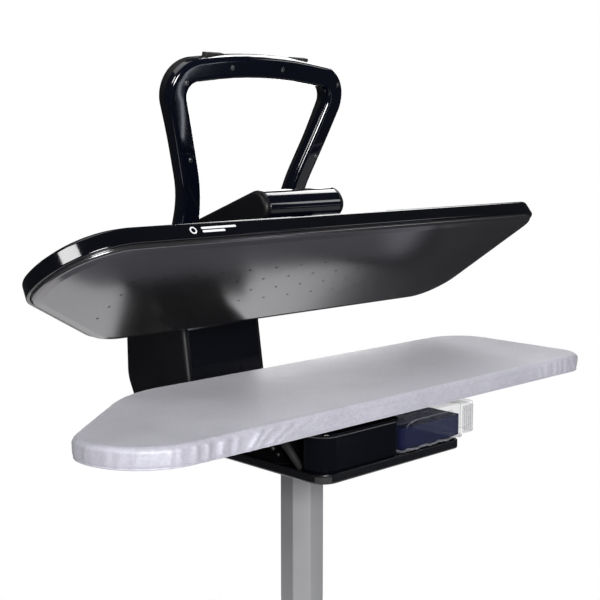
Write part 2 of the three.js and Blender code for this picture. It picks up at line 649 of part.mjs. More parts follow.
function buildHandle(parent) {
  const high = GRIP_HIGH;
  const corner = [GRIP_HALF, high - 11.5];
  const path = rounded([
    [-LEG_HALF, -18], [-LEG_HALF, 98, 170], [-corner[0], corner[1], 31], [-40, high + 1, 600],
    [40, high + 1, 600], [...corner, 31], [LEG_HALF, 98, 170], [LEG_HALF, -18],
  ], false, 0.22);
  // The bar widens towards its lower ends.
  const half = (p, inset) => BAR_HALF - inset + (FOOT_HALF - BAR_HALF) * (1 - smooth(p.y, 10, 110));
  const edge = (side, inset) => offset(path, side, false)
    .map((p, i) => p.sub(path[i]).setLength(half(path[i], inset)).add(path[i]));
  const bar = (inset) => [...edge(1, inset), ...edge(-1, inset).reverse()];
  // Both shells change depth between the grip and the legs.
  const deepen = (geometry, legDepth) => {
    const { position } = geometry.attributes;
    for (let i = 0; i < position.count; i += 1) {
      const depth = THREE.MathUtils.lerp(legDepth, 1, smooth(position.getZ(i), 160, high - 6));
      position.setY(i, position.getY(i) * depth);
    }
    return geometry;
  };
  const frontShell = deepen(alongFront(loft([
    [bar(0), GAP / 2], [bar(0), GRIP_FRONT - 5], [bar(1.4), GRIP_FRONT - 2], [bar(4), GRIP_FRONT],
  ])), LEG_FRONT / GRIP_FRONT);
  const rearShell = deepen(alongFront(loft([
    [bar(5), -GRIP_REAR], [bar(1.6), -GRIP_REAR + 3], [bar(0), -GRIP_REAR + 8], [bar(0), -GAP / 2],
  ])), LEG_REAR / GRIP_REAR);

  const buttonAt = 74;
  const buttonHalf = 15;
  const buttonTop = high + BAR_HALF - 0.4;
  const block = (sign, grow, low, top) => alongFront(plate(rectangle(
    sign * buttonAt - buttonHalf - grow, low, sign * buttonAt + buttonHalf + grow, top,
  ), -14 - grow, -5 + grow));
  const pocket = (sign) => block(sign, 0.5, buttonTop - 10, buttonTop + 8);
  const shaftHole = (sign) =>
    rodX(SHAFT + 0.3, ...span(sign * (ARM_HALF + 1), sign * (SHAFT_END + 1)), 0, 0);
  add(parent, 'handle_front_shell', cut(frontShell, shaftHole(-1), shaftHole(1)), glossBlack);
  add(parent, 'handle_rear_shell',
    cut(rearShell, pocket(-1), pocket(1), shaftHole(-1), shaftHole(1)), mattBlack);

  // The shaft joins both legs through the arm, with the pressing cams on it.
  add(parent, 'handle_shaft', rodX(SHAFT, -SHAFT_END, SHAFT_END, 0, 0, 20), steel);
  bothSides((side, sign) => {
    const [from, to] = span(sign * 24, sign * 32);
    const cam = alongX(plate(circle(17, 24, -4, -5), from, to));
    add(parent, `pressure_cam_${side}`, cut(cam, rodX(SHAFT + 0.3, from - 1, to + 1, 0, 0, 20)), castMetal);
    add(parent, `steam_button_${side}`, block(sign, 0, buttonTop - 6.4, buttonTop), rubber);
  });
}

// ---------------------------------------------------------------- assembly

const stand = group(press);
buildStand(stand);
buildHeightKnob(stand);

const deck = group(press, 0, 0, BOARD_TOP);
buildColumn(deck);
buildDeck(deck);
buildSwitch(deck);
buildHinge(deck);
buildTank(deck);
buildTankCap(deck);
buildBoard(group(deck, 0, BOARD_FRONT, 0));

// The head turns about its hinge; inside it, the frame's origin is at the sole's front edge.
const headHinge = group(deck, 0, BOARD_FRONT + HINGE_BACK, -HINGE_DROP);
headHinge.rotation.x = -OPEN_ANGLE;
const head = group(headHinge, 0, -HINGE_BACK, HINGE_DROP + CLOSED_GAP);
buildHead(head);
buildArm(head);

const handle = group(head, 0, ...HANDLE_PIVOT);
handle.rotation.x = HANDLE_LEAN;
buildHandle(handle);

export default press;
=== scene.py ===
"""Looks of the steam ironing press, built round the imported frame.

Sizes are written in millimetres in three frames. BASE has its origin on the floor under the column.
HEAD is the frame of the open head and its arm: y runs back from the front crease of the board, and z
up from the face of the sole. HANDLE has its origin on the handle's shaft, with z towards the grip.
"""

import json
import math

import bmesh
import bpy
from mathutils import Matrix, Vector, geometry, noise

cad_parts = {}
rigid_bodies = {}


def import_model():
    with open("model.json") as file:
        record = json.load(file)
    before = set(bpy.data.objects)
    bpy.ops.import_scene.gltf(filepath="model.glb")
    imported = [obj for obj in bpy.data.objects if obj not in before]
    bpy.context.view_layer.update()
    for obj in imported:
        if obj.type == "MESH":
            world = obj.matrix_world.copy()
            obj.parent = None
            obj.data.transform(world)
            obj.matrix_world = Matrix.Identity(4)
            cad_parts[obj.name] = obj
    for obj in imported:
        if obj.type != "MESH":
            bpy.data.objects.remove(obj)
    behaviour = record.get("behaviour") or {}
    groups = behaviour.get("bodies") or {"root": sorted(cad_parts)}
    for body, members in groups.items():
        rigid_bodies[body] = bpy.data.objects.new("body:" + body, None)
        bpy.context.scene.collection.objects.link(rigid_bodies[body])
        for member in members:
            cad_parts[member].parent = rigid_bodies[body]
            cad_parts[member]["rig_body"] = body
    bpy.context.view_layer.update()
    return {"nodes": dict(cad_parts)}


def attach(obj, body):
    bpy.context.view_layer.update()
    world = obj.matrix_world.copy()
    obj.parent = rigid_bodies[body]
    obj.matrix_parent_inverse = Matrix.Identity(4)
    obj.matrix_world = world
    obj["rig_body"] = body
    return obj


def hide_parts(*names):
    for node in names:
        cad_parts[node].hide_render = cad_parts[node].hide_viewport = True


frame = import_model()
nodes = frame["nodes"]
MM = 0.001

# ---------------------------------------------------------------- sizes, the same as the CAD's

BOARD_TOP, BOARD_FRONT, BULGE = 880, -169, 5
END, BACK = 400, 238
HINGE = Vector((0, 173, 833))
HINGE_BACK, HINGE_DROP, CLOSED_GAP = 342, 47, 2.5
OPEN, LEAN = math.radians(34.1), math.radians(47.8)
PIVOT = Vector((0, 213, 82))
ARM_HALF, ARM_SIDE = 70, 8
SEAT = 36.4
GRIP_HIGH, GRIP_HALF, LEG_HALF, BAR_HALF, FOOT_HALF = 265, 148, 90, 14, 17
GRIP_FRONT, LEG_FRONT, GRIP_REAR, LEG_REAR = 12, 14, 16, 8.8
BUTTON_AT = 74

BASE = Matrix.Identity(4)
BOARD = Matrix.Translation((0, BOARD_FRONT, BOARD_TOP))
DECK = Matrix.Translation((0, 0, BOARD_TOP))
HEAD = (Matrix.Translation(HINGE) @ Matrix.Rotation(-OPEN, 4, "X")
        @ Matrix.Translation((0, -HINGE_BACK, HINGE_DROP + CLOSED_GAP)))
HANDLE = HEAD @ Matrix.Translation(PIVOT) @ Matrix.Rotation(LEAN, 4, "X")
ALONG_X = Matrix(((0, 0, 1, 0), (1, 0, 0, 0), (0, 1, 0, 0), (0, 0, 0, 1)))
ALONG_FRONT = Matrix(((1, 0, 0, 0), (0, 0, -1, 0), (0, 1, 0, 0), (0, 0, 0, 1)))


# ---------------------------------------------------------------- outlines

def rounded(corners, closed=True, turn=0.07):
    """A polyline whose corners (x, y, radius) are turned into arcs."""
    points = []
    last = len(corners) - 1
    for i, corner in enumerate(corners):
        here = Vector(corner[:2])
        radius = corner[2] if len(corner) > 2 else 0
        if not radius or (not closed and i in (0, last)):
            points.append(here)
            continue
        back = (Vector(corners[i - 1][:2]) - here).normalized()
        on = (Vector(corners[(i + 1) % len(corners)][:2]) - here).normalized()
        half = math.acos(max(-1, min(1, back.dot(on)))) / 2
        centre = here + (back + on).normalized() * radius / math.sin(half)
        start = here + back * radius / math.tan(half) - centre
        sweep = math.copysign(math.pi - 2 * half, on.x * back.y - on.y * back.x)
        steps = max(3, math.ceil(abs(sweep) / turn))
        for k in range(steps + 1):
            points.append(Matrix.Rotation(sweep * k / steps, 2) @ start + centre)
    return points


def filled(points, longest, closed=True):
    """The same polyline with its long edges cut into even steps."""
    result = []
    for i, here in enumerate(points):
        result.append(here)
        if i == len(points) - 1 and not closed:
            break
        there = points[(i + 1) % len(points)]
        steps = math.ceil((there - here).length / longest)
        result += [here.lerp(there, k / steps) for k in range(1, steps)]
    return result


def offset(points, distance, closed=True):
    """The polyline moved outwards, to the right of its direction."""
    result = []
    last = len(points) - 1
    for i, here in enumerate(points):
        before = points[i - 1] if i or closed else here
        after = points[(i + 1) % len(points)] if i < last or closed else here
        a = (here - before) if before != here else (after - here)
        b = (after - here) if after != here else a
        a, b = (Vector((v.y, -v.x)).normalized() for v in (a, b))
        result.append(here + (a + b) * distance / (1 + a.dot(b)))
    return result


def strip(path, width, side=0):
    """A band of even width along a path, moved to one side of it."""
    return (offset(path, width / 2 + side, False)
            + offset(path, -width / 2 + side, False)[::-1])


def box_outline(x0, y0, x1, y1, r=0):
    """A rectangle with rounded corners."""
    return rounded([(x0, y0, r), (x1, y0, r), (x1, y1, r), (x0, y1, r)], turn=0.2)


def circle(radius, sides=32, x=0, y=0):
    return [Vector((x + radius * math.cos(2 * math.pi * k / sides),
                    y + radius * math.sin(2 * math.pi * k / sides))) for k in range(sides)]


plan = rounded([(-END, -BULGE, 84), (END, -BULGE, 32), (END, BACK, 60), (-234, BACK, 100),
                (-END, 103, 45)])


# ---------------------------------------------------------------- meshes

def loft(rings, caps=True):
    """Skins (outline, z) rings with the same number of points."""
    n = len(rings[0][0])
    verts = [(p.x, p.y, z) for outline, z in rings for p in outline]
    faces = [(k * n + i, k * n + (i + 1) % n, (k + 1) * n + (i + 1) % n, (k + 1) * n + i)
             for k in range(len(rings) - 1) for i in range(n)]
    if caps:
        faces.append(tuple(range(n))[::-1])
        faces.append(tuple(range((len(rings) - 1) * n, len(rings) * n)))
    return verts, faces


def turned(outline, profile):
    """The outline swept along a profile of (outset, z) points."""
    return loft([(offset(outline, p.x), p.y) for p in profile])


def prism(outline, low, high, edge=0.0, steps=4):
    """A straight piece whose two end faces have rounded edges."""
    rings = []
    for k in range(steps + 1):
        a = math.pi / 2 * k / steps
        rings.append((offset(outline, -edge * (1 - math.sin(a))), low + edge * (1 - math.cos(a))))
    rings += [(ring, low + high - z) for ring, z in rings[::-1]]
    return loft(rings if edge else [(outline, low), (outline, high)])


def merged(*parts):
    """Several meshes as one."""
    verts, faces = [], []
    for v, f in parts:
        faces += [tuple(i + len(verts) for i in face) for face in f]
        verts += list(v)
    return verts, faces


def moved(part, matrix):
    return [tuple(matrix @ Vector(v)) for v in part[0]], part[1]


def pipe(points, radius, sides=16, steps=6):
    """A round hose along a smooth curve through the points."""
    line = []
    stops = [Vector(p) for p in points]
    extended = [stops[0] * 2 - stops[1], *stops, stops[-1] * 2 - stops[-2]]
    for i in range(1, len(extended) - 2):
        p0, p1, p2, p3 = extended[i - 1:i + 3]
        for k in range(steps):
            t = k / steps
            line.append(0.5 * (2 * p1 + (p2 - p0) * t + (2 * p0 - 5 * p1 + 4 * p2 - p3) * t * t
                               + (3 * p1 - 3 * p2 + p3 - p0) * t ** 3))
    line.append(stops[-1])
    verts, faces = [], []
    side = Vector((1, 0, 0)) if abs((line[1] - line[0]).normalized().x) < 0.9 else Vector((0, 1, 0))
    for i, p in enumerate(line):
        along = (line[min(i + 1, len(line) - 1)] - line[max(i - 1, 0)]).normalized()
        side = (side - along * side.dot(along)).normalized()
        other = along.cross(side)
        verts += [tuple(p + radius * (math.cos(a) * side + math.sin(a) * other))
                  for a in (2 * math.pi * k / sides for k in range(sides))]
    for i in range(len(line) - 1):
        faces += [(i * sides + k, i * sides + (k + 1) % sides, (i + 1) * sides + (k + 1) % sides,
                   (i + 1) * sides + k) for k in range(sides)]
    faces += [tuple(range(sides))[::-1], tuple(range((len(line) - 1) * sides, len(line) * sides))]
    return verts, faces


def tidy_mesh(mesh, sharp):
    """Joins doubled points, turns the faces outwards and shades all but the sharp edges smooth."""
    bm = bmesh.new()
    bm.from_mesh(mesh)
    bmesh.ops.remove_doubles(bm, verts=bm.verts, dist=1e-6)
    bmesh.ops.recalc_face_normals(bm, faces=bm.faces)
    bm.to_mesh(mesh)
    bm.free()
    mesh.shade_smooth()
    mesh.set_sharp_from_angle(angle=math.radians(sharp))


def piece(name, part, body, material, place=BASE, replaces=(), sharp=32):
    """A new object from a mesh in millimetres, riding on a body."""
    mesh = bpy.data.meshes.new(name)
    mesh.from_pydata([(place @ Vector(v)) * MM for v in part[0]], [], part[1])
    mesh.update()
    tidy_mesh(mesh, sharp)
    mesh.materials.append(material)
    made = bpy.data.objects.new(name, mesh)
    bpy.context.scene.collection.objects.link(made)
    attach(made, body)
    if replaces:
        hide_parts(*replaces)
    weighted = made.modifiers.new("weighted", "WEIGHTED_NORMAL")
    weighted.keep_sharp = True
    return made


def carve(obj, cutter, sharp=32):
    """Takes a cutter, in millimetres and already in its place, out of a piece."""
    mesh = bpy.data.meshes.new("cutter")
    mesh.from_pydata([Vector(v) * MM for v in cutter[0]], [], cutter[1])
    tidy_mesh(mesh, 30)
    tool = bpy.data.objects.new("cutter", mesh)
    bpy.context.scene.collection.objects.link(tool)
    obj.modifiers.remove(obj.modifiers["weighted"])
    boolean = obj.modifiers.new("carve", "BOOLEAN")
    boolean.operation = "DIFFERENCE"
    boolean.object = tool
    boolean.solver = "EXACT"
    bpy.context.view_layer.update()
    result = bpy.data.meshes.new_from_object(obj.evaluated_get(bpy.context.evaluated_depsgraph_get()))
    obj.modifiers.clear()
    obj.data = result
    obj.data.set_sharp_from_angle(angle=math.radians(sharp))
    obj.modifiers.new("weighted", "WEIGHTED_NORMAL").keep_sharp = True
    bpy.data.objects.remove(tool)


SOFTENED_FROM = 35


def soften(node, width, material, segments=3):
    """A CAD node again with its sharp edges rounded, as a piece that stands for it."""
    made = bpy.data.objects.new(node + "_soft", nodes[node].data.copy())
    bpy.context.scene.collection.objects.link(made)
    bm = bmesh.new()
    bm.from_mesh(made.data)
    bmesh.ops.remove_doubles(bm, verts=bm.verts, dist=1e-6)
    bmesh.ops.dissolve_limit(bm, angle_limit=math.radians(1), verts=bm.verts, edges=bm.edges)
    bm.to_mesh(made.data)
    bm.free()
    made.data.materials.clear()
    made.data.materials.append(material)
    made.data.shade_smooth()
    bevel = made.modifiers.new("bevel", "BEVEL")
    bevel.width = width * MM
    bevel.segments = segments
    bevel.limit_method = "ANGLE"
    bevel.angle_limit = math.radians(SOFTENED_FROM)
    bevel.use_clamp_overlap = True
    bevel.harden_normals = True
    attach(made, nodes[node]["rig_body"])
    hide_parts(node)


# ---------------------------------------------------------------- camera

LENS = 70.98
EYE = (-1.047, -1.0743, 1.1849)
GAZE = Vector((0.69, 0.71051, -0.13813))
camera = bpy.data.objects.new("camera", bpy.data.cameras.new("camera"))
bpy.context.scene.collection.objects.link(camera)
camera.data.lens = LENS
camera.data.clip_end = 50
camera.location = EYE
camera.rotation_euler = GAZE.to_track_quat("-Z", "Y").to_euler()
bpy.context.scene.camera = camera


# ---------------------------------------------------------------- materials

def add_node(tree, kind, inputs=None, **settings):
    """A shader node, whose inputs are given as values or as the sockets that feed them."""
    made = tree.nodes.new("ShaderNode" + kind)
    for key, value in settings.items():
        setattr(made, key, value)
    for key, value in (inputs or {}).items():
        if isinstance(value, bpy.types.NodeSocket):
            tree.links.new(value, made.inputs[key])
        else:
            made.inputs[key].default_value = value
    return made


def stretched(tree, scale):
    """Object coordinates scaled along each axis."""
    where = add_node(tree, "TexCoord").outputs["Object"]
    return add_node(tree, "Mapping", {"Vector": where, "Scale": scale}).outputs["Vector"]


def surface(name, color, rough, metal=0.0, tone=0.12, vary=0.05, patch=9.0, grain=(900, 0.00003),
            stretch=(1, 1, 1), scratch=0.0, **values):
    """A moulded, painted or metal surface: patchy tone and roughness, fine grain, light scratches."""
    made = bpy.data.materials.new(name)
    made.use_nodes = True
    tree = made.node_tree
    shader = tree.nodes["Principled BSDF"]
    link = tree.links.new
    plain = stretched(tree, (1, 1, 1))
    drawn = stretched(tree, stretch)
    large = add_node(tree, "TexNoise", {"Vector": plain, "Scale": patch, "Detail": 4.0}).outputs[0]
    fine = add_node(tree, "TexNoise", {"Vector": drawn, "Scale": grain[0], "Detail": 3.0}).outputs[0]
    marks = add_node(tree, "TexNoise", {"Vector": stretched(tree, (900, 60, 240)), "Scale": 1.0,
                                        "Detail": 2.0}).outputs[0]
    worn = add_node(tree, "MapRange", {"Value": marks, "From Min": 0.66, "From Max": 0.74,
                                       "To Min": 0.0, "To Max": scratch}).outputs[0]
    both = add_node(tree, "Math", {0: large, 1: fine}, operation="ADD").outputs[0]
    level = add_node(tree, "MapRange", {"Value": both, "From Min": 0.7, "From Max": 1.3}).outputs[0]
    dark = [c * (1 - tone) for c in color] + [1]
    light = [min(1, c * (1 + tone)) for c in color] + [1]
    ramp = add_node(tree, "ValToRGB", {"Fac": level})
    ramp.color_ramp.elements[0].color = dark
    ramp.color_ramp.elements[1].color = light
    link(ramp.outputs["Color"], shader.inputs["Base Color"])
    uneven = add_node(tree, "MapRange", {"Value": large, "From Min": 0.3, "From Max": 0.7,
                                         "To Min": rough - vary, "To Max": rough + vary}).outputs[0]
    final = add_node(tree, "Math", {0: uneven, 1: worn}, operation="ADD", use_clamp=True).outputs[0]
    link(final, shader.inputs["Roughness"])
    bump = add_node(tree, "Bump", {"Height": fine, "Strength": 1.0, "Distance": grain[1]})
    link(bump.outputs["Normal"], shader.inputs["Normal"])
    shader.inputs["Metallic"].default_value = metal
    for key, value in values.items():
        shader.inputs[key.replace("_", " ")].default_value = value
    return made


def woven(name, color, rough, pitch, depth, tone=0.1, crease=0.0002, **values):
    """A plain weave with slack, uneven threads and soft creases."""
    made = bpy.data.materials.new(name)
    made.use_nodes = True
    tree = made.node_tree
    shader = tree.nodes["Principled BSDF"]
    link = tree.links.new
    where = stretched(tree, (1, 1, 1))
    parts = add_node(tree, "SeparateXYZ", {"Vector": where}).outputs
    turn = 2 * math.pi / pitch
    rows = []
    for axis in range(3):
        along = add_node(tree, "Math", {0: parts[axis], 1: turn}, operation="MULTIPLY").outputs[0]
        rows.append(add_node(tree, "Math", {0: along}, operation="SINE").outputs[0])
    crossed = add_node(tree, "Math", {0: rows[0], 1: rows[1]}, operation="MULTIPLY").outputs[0]
    threads = add_node(tree, "Math", {0: crossed, 1: rows[2]}, operation="ADD").outputs[0]
    soft = add_node(tree, "TexNoise", {"Vector": where, "Scale": 14.0, "Detail": 5.0}).outputs[0]
    slub = add_node(tree, "TexNoise", {"Vector": stretched(tree, (190, 420, 300)), "Scale": 1.0,
                                       "Detail": 2.0}).outputs[0]
    mixed = add_node(tree, "Math", {0: threads, 1: 0.08}, operation="MULTIPLY").outputs[0]
    mixed = add_node(tree, "Math", {0: mixed, 1: slub}, operation="ADD").outputs[0]
    mixed = add_node(tree, "Math", {0: mixed, 1: soft}, operation="ADD").outputs[0]
    level = add_node(tree, "MapRange", {"Value": mixed, "From Min": 0.65, "From Max": 1.35}).outputs[0]
    ramp = add_node(tree, "ValToRGB", {"Fac": level})
    ramp.color_ramp.elements[0].color = [c * (1 - tone) for c in color] + [1]
    ramp.color_ramp.elements[1].color = [min(1, c * (1 + tone)) for c in color] + [1]
    link(ramp.outputs["Color"], shader.inputs["Base Color"])
    uneven = add_node(tree, "MapRange", {"Value": soft, "To Min": rough - 0.1,
                                         "To Max": rough + 0.1}).outputs[0]
    link(uneven, shader.inputs["Roughness"])
    folds = add_node(tree, "Bump", {"Height": soft, "Strength": 1.0, "Distance": crease})
    weave = add_node(tree, "Bump", {"Height": threads, "Strength": 1.0, "Distance": depth,
                                    "Normal": folds.outputs["Normal"]})
    link(weave.outputs["Normal"], shader.inputs["Normal"])
    for key, value in values.items():
        shader.inputs[key.replace("_", " ")].default_value = value
    return made


gloss_black = surface("gloss_black", (0.0014, 0.0016, 0.0027), 0.1, tone=0.3, vary=0.015,
                      grain=(500, 0.000001), scratch=0.05, Specular_IOR_Level=0.4,
                      Coat_Weight=0.25, Coat_Roughness=0.04)
gloss_blue = surface("gloss_blue_black", (0.0012, 0.0016, 0.0042), 0.08, tone=0.3, vary=0.02,
                     grain=(500, 0.000001), scratch=0.05, Specular_IOR_Level=0.42,
                     Coat_Weight=0.3, Coat_Roughness=0.04)
satin_black = surface("satin_black", (0.0026, 0.0027, 0.0036), 0.26, tone=0.25, vary=0.05,
                      grain=(1200, 0.00001), scratch=0.05, Specular_IOR_Level=0.4)
matt_black = surface("matt_black", (0.0022, 0.0022, 0.0028), 0.46, tone=0.22, vary=0.06,
                     grain=(1500, 0.00003), Specular_IOR_Level=0.2)
rubber = surface("rubber", (0.0075, 0.0075, 0.008), 0.7, tone=0.25, grain=(1100, 0.00005),
                 Specular_IOR_Level=0.35)
silver_paint = surface("silver_paint", (0.19, 0.19, 0.196), 0.42, 0.3, tone=0.05,
                       grain=(1600, 0.00002), scratch=0.1)
sole_metal = surface("sole_metal", (0.15, 0.145, 0.152), 0.17, 0.92, tone=0.04, vary=0.015,
                     patch=5.0, grain=(1500, 0.000004), stretch=(0.06, 1, 1))
cast_metal = surface("cast_metal", (0.42, 0.42, 0.43), 0.5, 0.9, tone=0.15, grain=(500, 0.00012))
steel = surface("steel", (0.5, 0.51, 0.53), 0.32, 1.0, tone=0.1, grain=(1300, 0.00002),
                stretch=(0.1, 1, 1), scratch=0.15)
dark_steel = surface("dark_steel", (0.22, 0.22, 0.23), 0.3, 1.0, tone=0.2, grain=(1300, 0.00002))
brass = surface("brass", (0.5, 0.36, 0.14), 0.33, 1.0, tone=0.12, scratch=0.1)
circuit = surface("circuit", (0.012, 0.09, 0.03), 0.45, tone=0.3, patch=160,
                  grain=(500, 0.00005), Coat_Weight=0.4)
foam = surface("foam", (0.62, 0.58, 0.5), 0.95, tone=0.1, patch=40, grain=(420, 0.0006))
dark_foam = surface("filter_foam", (0.012, 0.014, 0.03), 0.9, tone=0.3, patch=60,
                    grain=(420, 0.0006))
white_paint = surface("white_paint", (0.55, 0.56, 0.57), 0.4, tone=0.06, grain=(1500, 0.00001))
pad_felt = woven("pad_felt", (0.6, 0.57, 0.5), 0.9, 0.0024, 0.0002, Sheen_Weight=0.4)
cover_cloth = woven("cover_cloth", (0.315, 0.311, 0.355), 0.5, 0.0011, 0.00003, tone=0.13,
                    crease=0.0004, Sheen_Weight=0.2, Sheen_Roughness=0.4, Metallic=0.15)


def clear(name, color, edge_highlight_color, rough, low, high, **values):
    """Clear plastic: nearly unseen face on; where the wall is seen edge on it turns more opaque and
    paler, a painted edge highlight.
    """
    made = surface(name, color, rough, tone=0.08, vary=0.02, grain=(300, 0.000004), **values)
    tree = made.node_tree
    shader = tree.nodes["Principled BSDF"]
    # Painted highlight: the wall grows opaque and turns to the pale edge colour where it is seen edge on.
    facing = add_node(tree, "LayerWeight", {"Blend": 0.35}).outputs["Facing"]
    alpha = add_node(tree, "MapRange", {"Value": facing, "From Min": 0.25, "From Max": 0.9,
                                        "To Min": low, "To Max": high}).outputs[0]
    tree.links.new(alpha, shader.inputs["Alpha"])
    plain = shader.inputs["Base Color"].links[0].from_socket
    painted_edge_highlight = add_node(tree, "Mix", data_type="RGBA")
    tree.links.new(facing, painted_edge_highlight.inputs[0])
    tree.links.new(plain, painted_edge_highlight.inputs[6])
    painted_edge_highlight.inputs[7].default_value = (*edge_highlight_color, 1)
    tree.links.new(painted_edge_highlight.outputs[2], shader.inputs["Base Color"])
    return made


# The second colour of each clear plastic is its painted edge highlight.
clear_plastic = clear("clear_plastic", (0.012, 0.013, 0.025), (0.3, 0.32, 0.4), 0.05, 0.04, 0.5,
                      Coat_Weight=0.5, Coat_Roughness=0.03)
ribbed_plastic = clear("ribbed_plastic", (0.15, 0.15, 0.18), (0.45, 0.45, 0.48), 0.12, 0.2, 0.8,
                       Coat_Weight=0.5, Coat_Roughness=0.05)
water = surface("water", (0.006, 0.008, 0.028), 0.06, tone=0.15, vary=0.02, patch=20,
                grain=(120, 0.00002), Alpha=0.85)
FINISHES = {
    "gloss_black": gloss_black, "matt_black": matt_black, "rubber": rubber,
    "silver_paint": silver_paint, "sole": sole_metal, "cast_metal": cast_metal, "steel": steel,
    "cloth": cover_cloth, "foam": foam, "clear_blue": clear_plastic, "circuit": circuit,
    "brass": brass,
}


# ---------------------------------------------------------------- stand

for side in ("left", "right"):
    soften(f"runner_{side}", 0.7, silver_paint)
    for end in ("front", "rear"):
        soften(f"runner_cap_{end}_{side}", 1.6, matt_black, 4)
        soften(f"foot_{end}_{side}", 1.2, rubber)
soften("crossbar", 0.7, silver_paint)
soften("column_socket", 1.2, silver_paint)
soften("column_sleeve", 1.1, silver_paint, 4)
soften("column_collar", 1.2, matt_black, 4)
soften("height_knob", 1.3, matt_black)
soften("column_tube", 0.9, silver_paint, 4)
soften("column_flange", 1.0, steel)

# Four screws hold the socket's flange to the crossbar.
for i, (x, y) in enumerate(((-49, -35), (49, -35), (-49, 35), (49, 35))):
    head = prism(circle(4.6, 6, x, y), 44.2, 47.6, 0.6)
    washer = prism(circle(6.4, 24, x, y), 43.9, 45.0, 0.3)
    piece(f"flange_screw_{i + 1}", merged(washer, head), "stand", steel)


# ---------------------------------------------------------------- press base

TRAY_LOW, TRAY_LIP, HOUSING_TOP, DECK_FRONT = -96, -84, -37, -150
TRAY_LEFT, TRAY_CORNER = 113, 24
tray_outline = rounded([
    (-TRAY_LEFT, DECK_FRONT, TRAY_CORNER), (140, DECK_FRONT, 10), (140, 66, 20), (92, 112, 30),
    (92, 300, 46), (-92, 300, 46), (-92, 112, 30), (-TRAY_LEFT, 66, 20),
])
tray_profile = rounded([(-8, TRAY_LOW), (0, TRAY_LOW, 3), (0, TRAY_LIP, 1.2), (-3, TRAY_LIP, 0.8),
                        (-3, TRAY_LOW + 3, 1), (-8, TRAY_LOW + 3)], closed=False, turn=0.25)
piece("tray", turned(tray_outline, tray_profile), "press_base", satin_black, DECK,
      ["base_tray"])

bumper_path = [Vector((TRAY_CORNER - TRAY_LEFT, TRAY_CORNER + DECK_FRONT))
               + Matrix.Rotation(math.radians(204 + 3 * k), 2) @ Vector((TRAY_CORNER + 0.4, 0))
               for k in range(16)]
piece("bumper", prism(strip(bumper_path, 2, 1), TRAY_LOW + 3.5, TRAY_LIP - 2, 0.7), "press_base",
      rubber, DECK, ["corner_bumper"])

bow = rounded([(-110, DECK_FRONT + 2.6, 26), (26, DECK_FRONT + 2.6, 9), (26, -107, 9),
               (-110, -107, 9)])
housing_low = TRAY_LOW + 3.4
housing_profile = rounded([
    (-7.2, HOUSING_TOP - 3), (-5, HOUSING_TOP - 5, 1), (-5.5, housing_low), (-3, housing_low),
    (-2.6, TRAY_LIP + 0.5, 0.5), (-2, TRAY_LIP + 2, 1), (-2, HOUSING_TOP - 5, 1),
    (0, HOUSING_TOP - 3.6, 0.7), (0, HOUSING_TOP, 1.2), (-4, HOUSING_TOP),
], closed=False, turn=0.25)
piece("housing_bow", turned(bow, housing_profile), "press_base", gloss_black, DECK,
      ["front_housing"])
soften("body_housing", 1.0, matt_black, 4)
soften("water_pump", 1.2, cast_metal)
soften("power_board", 0.3, circuit)
soften("transformer", 0.8, cast_metal)
soften("cable_gland", 0.8, rubber)
soften("power_switch", 0.9, matt_black)
piece("hose", pipe([(-98, -101, -87), (-98.5, -90, -78), (-99, -70, -60), (-99, -45, -50),
                    (-99, 0, -48), (-98, 70, -50), (-95, 116, -58), (-82, 141, -70),
                    (-58, 150, -82)], 5), "press_base", rubber, DECK, ["water_hose"], 50)

for side, sign in (("left", -1), ("right", 1)):
    soften(f"hinge_bracket_{side}", 0.9, steel)
    turns, coils = 7, []
    for k in range(turns * 12 + 1):
        a = 2 * math.pi * k / 12
        coils.append((sign * (8 + 22 * k / (turns * 12)), HINGE.y + 12 * math.cos(a),
                      HINGE.z - BOARD_TOP + 12 * math.sin(a)))
    piece(f"spring_{side}", pipe(coils, 1.45, 10, 2), "press_base", steel, DECK,
          [f"torsion_spring_{side}"], 60)
soften("hinge_pin", 0.8, steel)
# A lead that comes out over the tray and goes back in, and two screws in the housing beside it.
piece("lead", pipe([(-80, 10, -90), (-92, 4, -90.6), (-103, -14, -90.9), (-101, -36, -90.9),
                    (-93, -54, -90.6), (-80, -68, -90)], 1.7, 12), "press_base", gloss_black,
      DECK, (), 60)
wall_screws = [moved(prism(circle(2.6, 24, y, z), 86, 88.4, 0.8),
                     Matrix.Diagonal((-1, 1, 1, 1)) @ ALONG_X) for y, z in ((-38, -76), (-47, -82))]
piece("wall_screws", merged(*wall_screws), "press_base", steel, DECK)
soften("board_rail_front", 1.0, matt_black)
soften("board_rail_rear", 1.0, matt_black)

panel_profile = rounded([(-14, -23), (-5.4, -23, 2), (-5.4, -14, 2), (-14, -14)], False, 0.3)
piece("panel", turned(plan, panel_profile), "press_base", matt_black, BOARD,
      ["board_panel"])


# ---------------------------------------------------------------- water tank

tank_low, tank_high = TRAY_LIP + 1, HOUSING_TOP - 1
tank_outline = box_outline(28, DECK_FRONT + 3, 148, -50, 7)
tank_profile = rounded([
    (-12, tank_high), (0, tank_high, 2.4), (0, tank_low, 2.4), (-12, tank_low),
], False, 0.25)[::-1]
tank_inside = rounded([
    (-12, tank_low + 2.4), (-2.4, tank_low + 2.4, 2), (-2.4, tank_high - 2.4, 2),
    (-12, tank_high - 2.4),
], False, 0.25)
tank_wall = piece("tank_wall", turned(tank_outline, tank_profile), "tank", clear_plastic,
                  DECK, ["water_tank"])
carve(tank_wall, moved(turned(tank_outline, tank_inside), DECK))
carve(tank_wall, moved(prism(circle(11, 32, 124, -96), tank_high - 8, tank_high + 1), DECK))

